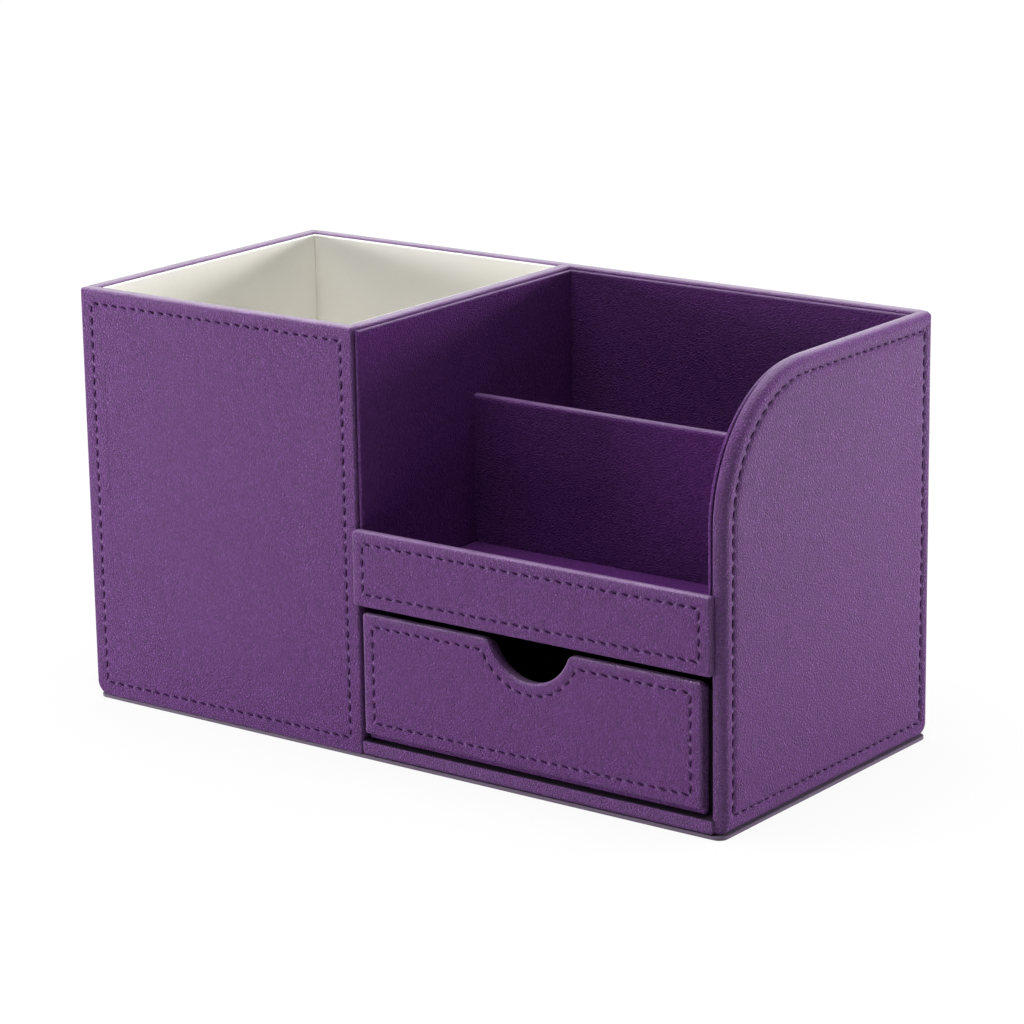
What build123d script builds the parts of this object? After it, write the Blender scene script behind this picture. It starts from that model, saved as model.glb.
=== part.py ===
from build123d import *
import os

# Desk organiser: a lined pen well beside an open letter bay, with one drawer under the bay.
# Every wall is a fibreboard panel wrapped in imitation leather, with the edges turned in behind it.
# Thin sewn panels face the lip of the bay and the drawer. Lining cards hide the turned-in edges.
# Millimetres, +X to the right, +Y to the back, +Z up, origin on the desk under the middle.

# Overall sizes
WIDTH = 250.0  # over the two side panels
DEPTH = 119.4  # from the fascia's face to the back panel's face
HEIGHT = 139.0  # from the desk to the rim
PEN_FRONT_WIDTH = 113.5  # front panel of the pen well
SHELF_HEIGHT = 57.8  # from the desk to the floor of the letter bay

# Thicknesses of the sheet materials
LEATHER = 0.8
WALL_BOARD = 2.8
BASE_BOARD = 4.0
FACE_CARD = 0.8  # stiffener of the thin sewn panels
PARTITION_BOARD = 2.2
DRAWER_FRONT_BOARD = 1.8
DRAWER_BOARD = 1.8
LIP_BOARD = 2.2
LINING = 1.4
BOTTOM_FELT = 1.2
DRAWER_FELT = 0.8

# Leather turned in behind a panel, and the roundings of the panels
HEM = 12.0
FACE_HEM = 7.0
EDGE_ROUND = 1.1
SIDE_ROUND = 2.0  # softer outer edge of the right side panel
FACE_ROUND = 0.9  # thin sewn panels
EDGE_ROUND_SHARE = 0.45  # most of a panel's thickness that one rounding takes
LEATHER_ROUND_SHARE = 2.5  # most of the leather's thickness that one rounding takes
CORNER_EASE = 0.5  # how far a panel's corner is wider than its edge rounding
FOOT_CORNER = 4.5
SWEEP_RADIUS = 45.0  # front top corner of the right side panel
FACE_CORNER = 1.8
LINING_EASE_SHARE = 0.35
FELT_INSET = 0.3
FELT_CORNER = 4.0

# Places of the walls
FASCIA_PROUD = 1.4  # fascia in front of the pen front panel
PEN_END_GAP = 0.2  # pen front panel's free end to the divider's outer face
LINING_DROP = 1.0  # lining below the rim
FASCIA_HEIGHT = 25.2
FASCIA_DROP = 7.8  # fascia's lower edge below the letter bay's floor
FASCIA_LAP = 0.7  # fascia over the front edge of the right side panel
LIP_DROP = 0.8
PARTITION_HEIGHT = 49.0
PARTITION_SETBACK = 60.0  # partition's front face behind the fascia's face

# Drawer
DRAWER_SIDE_GAP = 2.8
DRAWER_HEAD_GAP = 1.7
DRAWER_FOOT_GAP = 2.8
DRAWER_FACE_SETBACK = 1.0  # drawer's face behind the fascia's face
DRAWER_FRONT_STEP = 1.3  # box front below the sewn face, and below its top
DRAWER_RUN_GAP = 0.3
DRAWER_BACK_GAP = 2.0
DRAWER_WALL_HEIGHT = 37.0
NOTCH_RADIUS = 15.5
NOTCH_DEPTH = 11.5
NOTCH_CORNER = 3.0

# Thicknesses of the wrapped panels
WALL = WALL_BOARD + 2 * LEATHER
FACE = FACE_CARD + 2 * LEATHER
PARTITION = PARTITION_BOARD + 2 * LEATHER
DRAWER_FRONT = DRAWER_FRONT_BOARD + 2 * LEATHER
CORNER = EDGE_ROUND + CORNER_EASE
SIDE_CORNER = SIDE_ROUND + CORNER_EASE

# Edge roundings of a panel's show face and of its back, where it has them
WALL_ROUNDS = (EDGE_ROUND, EDGE_ROUND)
SIDE_ROUNDS = (SIDE_ROUND, EDGE_ROUND)
FACE_ROUNDS = (FACE_ROUND,)
SQUARE_EDGES = ()

# Planes of the box, from the driving sizes
LEFT = -WIDTH / 2
RIGHT = WIDTH / 2
FRONT = -DEPTH / 2
BACK = DEPTH / 2
LEFT_IN = LEFT + WALL
RIGHT_IN = RIGHT - WALL
BACK_IN = BACK - WALL
FASCIA_BACK = FRONT + FACE
PEN_FRONT = FRONT + FASCIA_PROUD
PEN_FRONT_IN = PEN_FRONT + WALL
PEN_FRONT_END = LEFT + PEN_FRONT_WIDTH
DIVIDER_RIGHT = PEN_FRONT_END + PEN_END_GAP
DIVIDER_LEFT = DIVIDER_RIGHT - WALL
BAY_LEFT = DIVIDER_RIGHT + LINING
BAY_RIGHT = RIGHT_IN - LINING
BAY_BACK = BACK_IN - LINING
BOARD_TOP = BOTTOM_FELT + BASE_BOARD
BASE_TOP = BOARD_TOP + LEATHER
SHELF_BOTTOM = SHELF_HEIGHT - WALL
LINING_TOP = HEIGHT - LINING_DROP
FASCIA_BOTTOM = SHELF_HEIGHT - FASCIA_DROP
FASCIA_TOP = FASCIA_BOTTOM + FASCIA_HEIGHT
LIP_TOP = FASCIA_TOP - LIP_DROP
PARTITION_FRONT = FRONT + PARTITION_SETBACK

# Planes of the drawer
DRAWER_LEFT = DIVIDER_RIGHT + DRAWER_SIDE_GAP
DRAWER_RIGHT = RIGHT_IN - DRAWER_SIDE_GAP
DRAWER_MIDDLE = (DRAWER_LEFT + DRAWER_RIGHT) / 2
DRAWER_FACE = FRONT + DRAWER_FACE_SETBACK
DRAWER_FACE_BACK = DRAWER_FACE + FACE
DRAWER_FRONT_BACK = DRAWER_FACE_BACK + DRAWER_FRONT
DRAWER_FACE_LOW = BASE_TOP + DRAWER_FOOT_GAP
DRAWER_FACE_TOP = FASCIA_BOTTOM - DRAWER_HEAD_GAP
DRAWER_REAR = BACK_IN - DRAWER_BACK_GAP
DRAWER_LOW = BASE_TOP + DRAWER_RUN_GAP
DRAWER_FLOOR = DRAWER_LOW + DRAWER_BOARD
DRAWER_WALL_TOP = DRAWER_FLOOR + DRAWER_WALL_HEIGHT
NOTCH_CENTRE = DRAWER_FACE_TOP - NOTCH_DEPTH + NOTCH_RADIUS


def facing_front(y):
    return Plane(origin=(0, y, 0), x_dir=(1, 0, 0), z_dir=(0, -1, 0))


def facing_back(y):
    return Plane(origin=(0, y, 0), x_dir=(-1, 0, 0), z_dir=(0, 1, 0))


def facing_left(x):
    return Plane(origin=(x, 0, 0), x_dir=(0, -1, 0), z_dir=(-1, 0, 0))


def facing_right(x):
    return Plane(origin=(x, 0, 0), x_dir=(0, 1, 0), z_dir=(1, 0, 0))


def rounded_at(shape, place, radius):
    """The flat shape with its corner nearest to the place rounded."""
    return fillet(shape.vertices().sort_by_distance(place)[0], radius)


def outline(left, right, low, high, radii):
    """A flat panel's outline. The radii start at its lower left corner and go anticlockwise."""
    shape = Pos((left + right) / 2, (low + high) / 2) * Rectangle(right - left, high - low)
    corners = ((left, low), (right, low), (right, high), (left, high))
    for corner, radius in zip(corners, radii):
        shape = rounded_at(shape, corner, radius)
    return shape


def notched(shape, top):
    """A drawer front's outline with the half-moon finger notch in its top edge."""
    half_chord = (NOTCH_RADIUS**2 - (NOTCH_CENTRE - top) ** 2) ** 0.5
    shape = shape - Pos(DRAWER_MIDDLE, NOTCH_CENTRE) * Circle(NOTCH_RADIUS)
    for side in (-1, 1):
        shape = rounded_at(shape, (DRAWER_MIDDLE + side * half_chord, top), NOTCH_CORNER)
    return shape


def edge_rounding(thickness, radius=EDGE_ROUND):
    """The rounding of a wrapped edge, which leaves leather over the board's square edge."""
    return min(radius, thickness * EDGE_ROUND_SHARE, LEATHER * LEATHER_ROUND_SHARE)


def wrapped_panel(shape, plane, board_thickness, hem, roundings):
    """A board and the leather round it. The show face lies on the plane and the hem is behind."""
    thickness = board_thickness + 2 * LEATHER
    board = Pos(0, 0, -LEATHER) * extrude(offset(shape, -LEATHER), -board_thickness)
    window = Pos(0, 0, -thickness) * extrude(offset(shape, -hem), LEATHER)
    cover = extrude(shape, -thickness)
    for side, radius in zip((-1, 0), roundings):
        face = cover.faces().sort_by(Axis.Z)[side]
        cover = fillet(face.edges(), edge_rounding(thickness, radius))
    return plane * board, plane * (cover - board - window)


def block(x_range, y_range, z_range):
    """A plain board between two planes each way."""
    ranges = (x_range, y_range, z_range)
    middle = [(low + high) / 2 for low, high in ranges]
    return Pos(*middle) * Box(*[high - low for low, high in ranges])


def lining(x_range, y_range, z_range):
    """A lining card with its top edges eased."""
    card = block(x_range, y_range, z_range)
    thickness = min(x_range[1] - x_range[0], y_range[1] - y_range[0])
    return fillet(card.faces().sort_by(Axis.Z)[-1].edges(), thickness * LINING_EASE_SHARE)


def along_x(shape, x_range):
    """A section drawn in Y and Z, drawn out between two planes."""
    return Pos(x_range[0], 0, 0) * (Plane.YZ * extrude(shape, x_range[1] - x_range[0]))


def wall_panels():
    """The five standing walls of the box, each as a board and its leather."""
    plain = (CORNER, CORNER, CORNER, CORNER)
    left = outline(-BACK, -PEN_FRONT_IN, BOTTOM_FELT, HEIGHT, (FOOT_CORNER, CORNER, CORNER, CORNER))
    back = outline(-RIGHT_IN, -LEFT_IN, BOTTOM_FELT, HEIGHT, plain)
    right_corners = (FOOT_CORNER, FOOT_CORNER, SIDE_CORNER, SWEEP_RADIUS)
    right = outline(FASCIA_BACK, BACK, BOTTOM_FELT, HEIGHT, right_corners)
    front_corners = (FOOT_CORNER, CORNER, CORNER, CORNER)
    front = outline(LEFT, PEN_FRONT_END, BOTTOM_FELT, HEIGHT, front_corners)
    divider = outline(PEN_FRONT_IN, BACK_IN, BOARD_TOP, HEIGHT, plain)
    walls = {
        "left_panel": (left, facing_left(LEFT), WALL_ROUNDS),
        "back_panel": (back, facing_back(BACK), WALL_ROUNDS),
        "right_panel": (right, facing_right(RIGHT), SIDE_ROUNDS),
        "pen_front": (front, facing_front(PEN_FRONT), WALL_ROUNDS),
        "divider": (divider, facing_right(DIVIDER_RIGHT), WALL_ROUNDS),
    }
    return {
        name: wrapped_panel(shape, plane, WALL_BOARD, HEM, roundings)
        for name, (shape, plane, roundings) in walls.items()
    }


def base():
    """The base board, with a tongue to the front under the drawer, and the leather over that tongue."""
    tongue_front = PEN_FRONT + LEATHER
    plan = Polyline(
        (LEFT_IN, PEN_FRONT_IN),
        (DIVIDER_RIGHT, PEN_FRONT_IN),
        (DIVIDER_RIGHT, tongue_front),
        (RIGHT_IN, tongue_front),
        (RIGHT_IN, BACK_IN),
        (LEFT_IN, BACK_IN),
        close=True,
    )
    board = Pos(0, 0, BOTTOM_FELT) * extrude(make_face(plan), BASE_BOARD)
    section = outline(PEN_FRONT, BACK_IN, BOTTOM_FELT, BASE_TOP, ())
    section = rounded_at(section, (PEN_FRONT, BASE_TOP), edge_rounding(BASE_TOP - BOTTOM_FELT))
    cover = along_x(section, (DIVIDER_RIGHT, RIGHT_IN)) - board
    return board, cover


def bottom_sheet():
    """The felt sheet under the whole box, a little smaller than its footprint."""
    across = (LEFT + FELT_INSET, RIGHT - FELT_INSET)
    deep = (PEN_FRONT + FELT_INSET, BACK - FELT_INSET)
    corners = (FELT_CORNER, FELT_CORNER, FELT_CORNER, FELT_CORNER)
    return extrude(outline(*across, *deep, corners), BOTTOM_FELT)


def shelf():
    """The letter bay's floor: leather over its top and front edge, turned in below."""
    span = (DIVIDER_RIGHT, RIGHT_IN)
    section = outline(FASCIA_BACK, BACK_IN, SHELF_BOTTOM, SHELF_HEIGHT, ())
    core = outline(FASCIA_BACK + LEATHER, BACK_IN, SHELF_BOTTOM + LEATHER, SHELF_HEIGHT - LEATHER, ())
    for height in (SHELF_BOTTOM, SHELF_HEIGHT):
        section = rounded_at(section, (FASCIA_BACK, height), edge_rounding(WALL))
    board = along_x(core, span)
    bare_underside = block(span, (FASCIA_BACK + HEM, BACK_IN), (SHELF_BOTTOM, SHELF_BOTTOM + LEATHER))
    return board, along_x(section, span) - board - bare_underside


def partition():
    """The low wall across the letter bay: leather down both faces and over its top."""
    span = (BAY_LEFT, BAY_RIGHT)
    top = SHELF_HEIGHT + PARTITION_HEIGHT
    rear = PARTITION_FRONT + PARTITION
    section = outline(PARTITION_FRONT, rear, SHELF_HEIGHT, top, ())
    for side in (PARTITION_FRONT, rear):
        section = rounded_at(section, (side, top), edge_rounding(PARTITION))
    board = block(span, (PARTITION_FRONT + LEATHER, rear - LEATHER), (SHELF_HEIGHT, top - LEATHER))
    return board, along_x(section, span) - board


def fascia():
    """The thin sewn panel across the front of the letter bay."""
    shape = outline(
        DIVIDER_RIGHT,
        RIGHT_IN + FASCIA_LAP,
        FASCIA_BOTTOM,
        FASCIA_TOP,
        (FACE_CORNER, FACE_CORNER, FACE_CORNER, FACE_CORNER),
    )
    return wrapped_panel(shape, facing_front(FRONT), FACE_CARD, FACE_HEM, FACE_ROUNDS)


def well_linings():
    """The suede-faced cards on the floor and the four walls of the pen well."""
    across = (LEFT_IN, DIVIDER_LEFT)
    deep = (PEN_FRONT_IN, BACK_IN)
    between = (PEN_FRONT_IN + LINING, BACK_IN - LINING)
    floor_top = BOARD_TOP + LINING
    tall = (floor_top, LINING_TOP)
    return {
        "well_floor_lining": block(across, deep, (BOARD_TOP, floor_top)),
        "well_front_lining": lining(across, (PEN_FRONT_IN, PEN_FRONT_IN + LINING), tall),
        "well_back_lining": lining(across, (BACK_IN - LINING, BACK_IN), tall),
        "well_left_lining": lining((LEFT_IN, LEFT_IN + LINING), between, tall),
        "well_right_lining": lining((DIVIDER_LEFT - LINING, DIVIDER_LEFT), between, tall),
    }


def bay_linings():
    """The leather-faced cards on the three walls of the letter bay, and the lip behind the fascia."""
    tall = (SHELF_HEIGHT, LINING_TOP)
    sweep = SWEEP_RADIUS - LINING_DROP
    side = outline(FASCIA_BACK, BAY_BACK, SHELF_HEIGHT, LINING_TOP, ())
    side = rounded_at(side, (FASCIA_BACK, LINING_TOP), sweep)
    right = facing_right(RIGHT_IN) * extrude(side, -LINING)
    lip_depth = (FASCIA_BACK, FASCIA_BACK + LIP_BOARD)
    return {
        "bay_left_lining": lining((DIVIDER_RIGHT, BAY_LEFT), (FASCIA_BACK, BAY_BACK), tall),
        "bay_back_lining": lining((DIVIDER_RIGHT, RIGHT_IN), (BAY_BACK, BACK_IN), tall),
        "bay_right_lining": right,
        "lip_lining": lining((BAY_LEFT, BAY_RIGHT), lip_depth, (SHELF_HEIGHT, LIP_TOP)),
    }


def drawer_fronts():
    """The drawer's sewn face and the box front behind it, both with the finger notch."""
    plain = (FACE_CORNER, FACE_CORNER, FACE_CORNER, FACE_CORNER)
    face = outline(DRAWER_LEFT, DRAWER_RIGHT, DRAWER_FACE_LOW, DRAWER_FACE_TOP, plain)
    box_low = DRAWER_FACE_LOW - DRAWER_FRONT_STEP
    box_top = DRAWER_FACE_TOP - DRAWER_FRONT_STEP
    box_front = outline(DRAWER_LEFT, DRAWER_RIGHT, box_low, box_top, plain)
    face = notched(face, DRAWER_FACE_TOP)
    box_front = notched(box_front, box_top)
    face_plane = facing_front(DRAWER_FACE)
    box_plane = facing_front(DRAWER_FACE_BACK)
    return {
        "drawer_face": wrapped_panel(face, face_plane, FACE_CARD, FACE_HEM, FACE_ROUNDS),
        "drawer_front": wrapped_panel(box_front, box_plane, DRAWER_FRONT_BOARD, FACE_HEM, SQUARE_EDGES),
    }


def drawer_box():
    """The drawer's floor, sides, back and felt."""
    across = (DRAWER_LEFT, DRAWER_RIGHT)
    inside = (DRAWER_LEFT + DRAWER_BOARD, DRAWER_RIGHT - DRAWER_BOARD)
    long = (DRAWER_FRONT_BACK, DRAWER_REAR)
    tall = (DRAWER_FLOOR, DRAWER_WALL_TOP)
    back_face = DRAWER_REAR - DRAWER_BOARD
    felt_height = (DRAWER_FLOOR, DRAWER_FLOOR + DRAWER_FELT)
    return {
        "drawer_bottom": block(across, long, (DRAWER_LOW, DRAWER_FLOOR)),
        "drawer_left_side": lining((DRAWER_LEFT, inside[0]), long, tall),
        "drawer_right_side": lining((inside[1], DRAWER_RIGHT), long, tall),
        "drawer_back": lining(inside, (back_face, DRAWER_REAR), tall),
        "drawer_felt": block(inside, (DRAWER_FRONT_BACK, back_face), felt_height),
    }


def organiser():
    """Every piece by its name."""
    wrapped = {
        **wall_panels(),
        "base": base(),
        "shelf": shelf(),
        "partition": partition(),
        "fascia": fascia(),
        **drawer_fronts(),
    }
    pieces = {"bottom_felt": bottom_sheet(), **well_linings(), **bay_linings(), **drawer_box()}
    for name, (board, cover) in wrapped.items():
        pieces[name + "_board"] = board
        pieces[name + "_cover"] = cover
    return pieces


os.makedirs("parts", exist_ok=True)
for name, piece in organiser().items():
    export_step(piece, "parts/" + name + ".step")
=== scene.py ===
"""Looks of a leather-wrapped desk organiser: a pen well, a letter bay and a drawer.

Laid out as an add-on and run as a script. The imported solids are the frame, in metres, +Z up, with the
front towards -Y. Wrapped panels are lofted from rings that follow a panel's outline inwards.
"""

import math
from collections import namedtuple

import bpy
import numpy as np
from mathutils import Matrix, Vector


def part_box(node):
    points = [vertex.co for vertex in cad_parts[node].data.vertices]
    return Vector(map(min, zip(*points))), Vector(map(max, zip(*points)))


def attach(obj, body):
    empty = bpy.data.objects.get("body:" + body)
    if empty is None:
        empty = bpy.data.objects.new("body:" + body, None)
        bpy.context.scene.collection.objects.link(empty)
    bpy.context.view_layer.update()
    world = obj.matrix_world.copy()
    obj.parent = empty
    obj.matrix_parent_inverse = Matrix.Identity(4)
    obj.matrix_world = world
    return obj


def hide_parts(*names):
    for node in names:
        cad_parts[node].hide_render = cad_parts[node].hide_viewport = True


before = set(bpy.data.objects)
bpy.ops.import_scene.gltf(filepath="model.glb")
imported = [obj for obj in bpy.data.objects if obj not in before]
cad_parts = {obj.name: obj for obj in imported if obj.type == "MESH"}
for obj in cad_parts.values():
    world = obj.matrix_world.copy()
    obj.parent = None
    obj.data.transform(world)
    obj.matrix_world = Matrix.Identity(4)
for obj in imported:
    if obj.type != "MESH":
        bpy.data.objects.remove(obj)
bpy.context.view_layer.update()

bl_info = {
    "name": "Desk organiser",
    "version": (1, 0, 0),
    "blender": (4, 5, 0),
    "location": "3D View > Sidebar > Organiser",
    "description": "Builds the leather, stitches, linings and stage of a desk organiser",
    "category": "Add Mesh",
}

MM = 0.001
TINY = 0.02 * MM
CASE, DRAWER = "case", "drawer"
FLOAT, COLOUR = "NodeSocketFloat", "NodeSocketColor"

# Shares and counts of the meshes
EDGE_STEPS, LEAST_ARC_POINTS = 9, 5
EDGE_RING_SHARES = (1.3, 1.6, 2.0)
SEAM_RING_SHARES = (-2.6, -1.9, -1.4, -1.0, -0.7, -0.45, -0.22, 0, 0.22, 0.45, 0.7, 1.0, 1.4, 1.9, 2.6, 4.5)
PULL_RING_SHARES = (-1.5, -1.2, -0.9, 0.9, 1.2, 1.5, 2.2)
SWELL_WAVES = 5
SWELL_REACH_SHARES = (0.6, 1.6)
STITCH_RINGS, STITCH_SIDES, STITCH_TWISTS, STITCH_ARCH_POWER = 11, 8, 1.5, 0.6
STITCH_LIFT_SHARE, STITCH_END_SHARE, STITCH_PLY_SHARE = 0.42, 0.55, 0.14
# Share of each stitch, from its start, that fades from painted needle-hole shade
HOLE_SHARE = 0.45

# Mesh spacing of a panel that asks for no other
PLAIN_STEP = 2 * MM

# How far from its edge leather shows rubbing and painted highlight, how much rubbing it shows at every edge,
# how much painted highlight at edges that look left and between two stitches, and the powers that narrow the
# painted highlight to edges that look up and to the middle between stitches
WORN_AND_LIT_REACH = 0.55 * MM
RUB_EVERYWHERE_SHARE, LEFT_HIGHLIGHT_SHARE, BRIDGE_HIGHLIGHT_SHARE = 0.1, 0.2, 0.45
UP_HIGHLIGHT_POWER, BRIDGE_POWER, BRIDGE_RISE_SHARE = 6, 6, 1.2

# Local axes of a panel by the way its show face looks: along, up and out
FACINGS = {
    "front": ((1, 0, 0), (0, 0, 1), (0, -1, 0)),
    "back": ((-1, 0, 0), (0, 0, 1), (0, 1, 0)),
    "left": ((0, -1, 0), (0, 0, 1), (-1, 0, 0)),
    "right": ((0, 1, 0), (0, 0, 1), (1, 0, 0)),
    "up": ((1, 0, 0), (0, 1, 0), (0, 0, 1)),
    "down": ((1, 0, 0), (0, -1, 0), (0, 0, -1)),
}

Panel = namedtuple("Panel", "axes left right low high face thickness")
Arc = namedtuple("Arc", "along up radius start stop")
Notch = namedtuple("Notch", "along up radius corner")
Seam = namedtuple("Seam", "phase runs")
Softbox = namedtuple("Softbox", "name power azimuth elevation width height")
Leather = namedtuple("Leather", "colour wear specular")
# A fibre's edge colour, if given, is a painted highlight along its edges that look up
Fibre = namedtuple("Fibre", "colour scale fleck depth edge", defaults=(None,))

# How a panel is wrapped: its edge radii in front and behind, how far its sides are grown, the inset of its
# stitches (0 for none), how deep the front rounding is if it isn't a circle, whether padding is pulled in at
# the seam, how far from the edge it shows rubbing and painted highlight, how much painted highlight its left
# edge gets, the spacing of its mesh, and how much thinner it is behind
Wrap = namedtuple(
    "Wrap",
    "front back grow inset deep padded worn left step slit",
    defaults=((0, 0, 0, 0), 0, 0, False, WORN_AND_LIT_REACH, LEFT_HIGHLIGHT_SHARE, PLAIN_STEP, 0),
)

# Materials by the names of their colours
LEATHERS = {
    # The second number sets how much rubbing and painted edge highlight a leather gets
    "Leather": Leather("leather", wear=0.8, specular=0.5),
    # Darker leather with less sheen for the letter bay's inside: painted shade
    "Lining leather": Leather("lining", wear=0.5, specular=0.15),
}
FIBRES = {
    # The suede's pale band along its top is a painted highlight
    "Suede": Fibre("suede", scale=1500.0, fleck=0.5, depth=0.12 * MM, edge="suede_edge"),
    "Felt": Fibre("felt", scale=1100.0, fleck=1.2, depth=0.2 * MM),
    "Drawer felt": Fibre("drawer_felt", scale=1100.0, fleck=1.2, depth=0.2 * MM),
    "Card": Fibre("card", scale=2200.0, fleck=0.6, depth=0.06 * MM),
    "Board": Fibre("board", scale=700.0, fleck=1.6, depth=0.12 * MM),
}

# Softboxes, in degrees and metres, and how far they stand from the middle of the object
SOFTBOXES = (
    Softbox("Left softbox", "left_power", azimuth=-62, elevation=4, width=0.9, height=0.3),
    Softbox("Right softbox", "right_power", azimuth=145, elevation=6, width=0.4, height=0.3),
    Softbox("Top softbox", "top_power", azimuth=-20, elevation=84, width=1.0, height=1.0),
)
LAMP_REACH, MIDDLE_HEIGHT = 1.1, 0.07


def mm_property(name, description, millimetres):
    """A length that the user can change, given in millimetres and kept in metres."""
    return bpy.props.FloatProperty(
        name=name, description=description, default=millimetres * MM, min=0.0, unit="LENGTH", precision=5
    )


def colour_property(name, description, default):
    """A linear colour that the user can change."""
    return bpy.props.FloatVectorProperty(
        name=name, description=description, default=default, size=3, min=0.0, max=1.0, subtype="COLOR"
    )


def number_property(name, description, default):
    """A plain number that the user can change."""
    return bpy.props.FloatProperty(name=name, description=description, default=default, min=0.0)


def angle_property(name, description, degrees):
    """An angle that the user can change."""
    return bpy.props.FloatProperty(
        name=name, description=description, default=math.radians(degrees), subtype="ANGLE"
    )


class OrganiserSizes(bpy.types.PropertyGroup):
    """Sizes of the leather work and the sewing."""

    edge_round: mm_property("Edge rounding", "Radius of a wall's wrapped edge", 0.85)
    face_round: mm_property("Face rounding", "Radius of a thin panel's edge", 0.85)
    face_back: mm_property("Face back", "Radius of a thin panel's edge behind", 0.4)
    soft_round: mm_property("Soft rounding", "Radius of the right panel's outer edge", 2.7)
    soft_land: mm_property("Soft land", "Thickness behind the soft rounding", 0.935)
    corner: mm_property("Corner", "Radius of a panel's plain corner", 1.1)
    face_corner: mm_property("Face corner", "Radius of a thin panel's corner", 1.0)
    card_round: mm_property("Card rounding", "Radius of a lining card's edge", 0.5)
    # Height of the painted highlight along the suede's top
    suede_edge: mm_property("Suede highlight", "Height of the suede's pale edge", 1.5)
    suede_rise: mm_property("Suede rise", "Height of the suede above its card", 0.5)
    seam_slit: mm_property("Seam slit", "Open slit between a lining card and its wall", 0.25)
    front_drop: mm_property("Front drop", "How far the box front hangs below its board", 0.9)
    front_thin: mm_property("Front thinning", "How much thinner the box front is behind", 1.5)
    fascia_lap: mm_property("Fascia lap", "How far the fascia laps over the divider", 1.3)
    fascia_reach: mm_property("Fascia reach", "How far it reaches past its right end", 0.4)
    fascia_corner: mm_property("Fascia corner", "Radius of the fascia's upper left corner", 2.0)
    fascia_lift: mm_property("Fascia lift", "How far the fascia's lower edge is pulled up", 0.65)
    drawer_lap: mm_property("Drawer lap", "How far the drawer's front reaches to the left", 1.4)
    rail_edge: mm_property("Rail edge", "Radius of the base rail's upper edge", 0.4)
    rail_tuck: mm_property("Rail tuck", "Radius of the base rail's lower edge", 1.6)
    tuck: mm_property("Tuck", "How far a hidden end reaches into its neighbour", 1.3)
    foot_corner: mm_property("Foot corner", "Radius of a panel's corner at the desk", 4.5)
    front_foot: mm_property("Front foot", "Radius of the right panel's front foot", 1.8)
    sheet_corner: mm_property("Sheet corner", "Radius of the bottom sheet's corners", 3.0)
    sweep: mm_property("Sweep", "Radius of the right panel's front top corner", 45.0)
    lining_drop: mm_property("Lining drop", "How far a lining ends below the rim", 1.0)
    hem: mm_property("Hem", "Leather turned in behind a panel", 12.0)
    notch_radius: mm_property("Notch radius", "Radius of the drawer's finger notch", 15.5)
    notch_depth: mm_property("Notch depth", "Depth of the finger notch", 11.5)
    notch_corner: mm_property("Notch corner", "Radius where the notch meets the top edge", 3.0)
    wall_inset: mm_property("Wall stitch inset", "Stitch line to a wall's edge", 4.7)
    soft_inset: mm_property("Soft stitch inset", "Stitch line to the right panel's edge", 5.3)
    fascia_inset: mm_property("Fascia stitch inset", "Stitch line to the fascia's edge", 4.1)
    drawer_inset: mm_property("Drawer stitch inset", "Stitch line to the face's edge", 3.9)
    stitch_pitch: mm_property("Stitch pitch", "From one needle hole to the next", 4.05)
    stitch_gap: mm_property("Stitch gap", "Leather between two stitches", 1.0)
    stitch_slant: mm_property("Stitch slant", "Sideways step along one stitch", 0.75)
    thread: mm_property("Thread", "Diameter of the sewing thread", 0.52)
    groove_depth: mm_property("Groove depth", "Depth of the pulled-in leather", 0.3)
    groove_width: mm_property("Groove width", "Half width of the pulled-in leather", 0.5)
    dimple: mm_property("Dimple", "How far a stitch dives at its ends", 0.4)
    crown: mm_property("Crown", "How far the leather swells inside the seam", 0.06)
    pull_depth: mm_property("Pull depth", "Depth that a seam pulls padding in", 0.45)
    pull_width: mm_property("Pull width", "Half width of that pull", 1.1)
    partition_round: mm_property("Partition rounding", "Radius of its upper edge", 1.6)
    swell: mm_property("Swell", "Height of the leather's slow unevenness", 0.06)
    swell_reach: mm_property("Swell reach", "Length of that unevenness", 45.0)
    ring_step: mm_property("Ring step", "Mesh spacing along a sewn panel", 0.5)


class OrganiserColours(bpy.types.PropertyGroup):
    """Colours of the materials."""

    leather: colour_property("Leather", "Imitation leather", (0.132, 0.038, 0.186))
    # Darker colour of the letter bay's leather: painted shade
    lining: colour_property("Lining leather", "Leather inside the letter bay", (0.108, 0.027, 0.164))
    # Paler colour for rubbing and painted highlight along the edges
    leather_worn_and_lit: colour_property("Worn and lit leather", "Rubbed leather along the edges", (0.42, 0.28, 0.5))
    thread: colour_property("Thread", "Sewing thread", (0.028, 0.007, 0.043))
    suede: colour_property("Suede", "Lining of the pen well", (0.91, 0.893, 0.835))
    # Colour of the painted highlight along the suede's top
    suede_edge: colour_property("Suede highlight", "Cut edge of the lining", (0.9, 0.89, 0.86))
    felt: colour_property("Felt", "Sheet under the base", (0.15, 0.115, 0.165))
    drawer_felt: colour_property("Drawer felt", "Floor of the drawer", (0.018, 0.015, 0.022))
    card: colour_property("Card", "Covered card of the drawer", (0.03, 0.02, 0.036))
    board: colour_property("Board", "Fibreboard inside the panels", (0.3, 0.2, 0.11))
    floor: colour_property("Floor", "Floor under the object", (0.82, 0.82, 0.82))


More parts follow.
